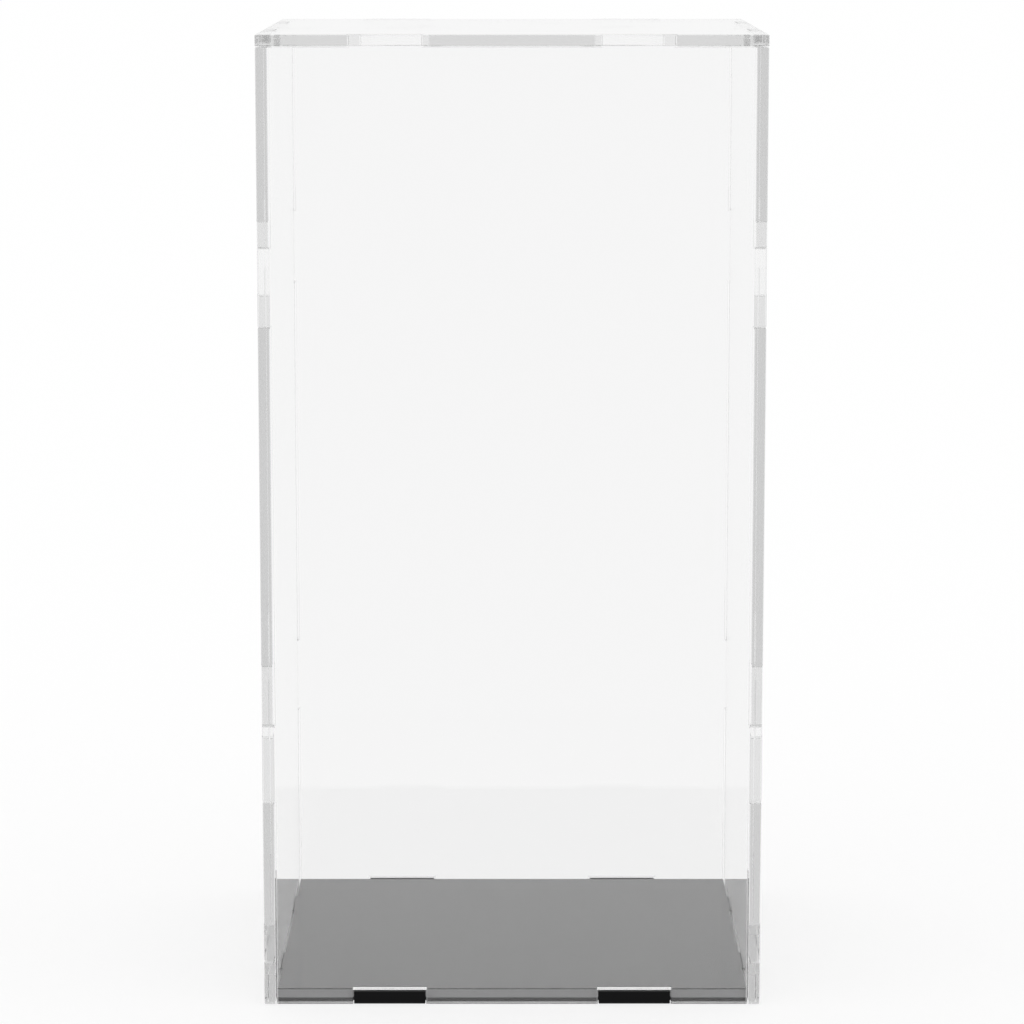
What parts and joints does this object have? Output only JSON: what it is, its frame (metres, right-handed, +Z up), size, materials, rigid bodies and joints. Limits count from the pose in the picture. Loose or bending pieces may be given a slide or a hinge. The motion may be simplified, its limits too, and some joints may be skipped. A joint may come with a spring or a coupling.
{
  "type": "display case",
  "caption": "Tall clear acrylic display case on a black base: flat sheets joined by tabs and notches, with a dust hood that lifts straight off the base.",
  "frame": {"origin": "middle of the underside of the base, on the surface that the case stands on", "axes": "+Z up, -Y towards the front as pictured, +X to the right of the front"},
  "size_m": [0.1284, 0.12, 0.25],
  "materials": {
    "clear_acrylic": "clear sheet with polished faces and laser-cut edges",
    "black_acrylic": "black sheet, gloss"
  },
  "bodies": {
    "base": {"base_plate": "black_acrylic"},
    "back": {"back_wall": "clear_acrylic"},
    "front": {"front_wall": "clear_acrylic"},
    "left": {"left_wall": "clear_acrylic"},
    "right": {"right_wall": "clear_acrylic"},
    "top": {"top_plate": "clear_acrylic"}
  },
  "joints": [
    {"name": "hood_lift", "type": "slide", "parent": "base", "child": "back", "axis": [0, 0, 1], "range_m": [0, 0.26]},
    {"name": "front_pull", "type": "slide", "parent": "back", "child": "front", "axis": [0, -1, 0], "range_m": [0, 0.06]},
    {"name": "left_pull", "type": "slide", "parent": "back", "child": "left", "axis": [-1, 0, 0], "range_m": [0, 0.06]},
    {"name": "right_pull", "type": "slide", "parent": "back", "child": "right", "axis": [1, 0, 0], "range_m": [0, 0.06]},
    {"name": "top_lift", "type": "slide", "parent": "back", "child": "top", "axis": [0, 0, 1], "range_m": [0, 0.06]}
  ]
}
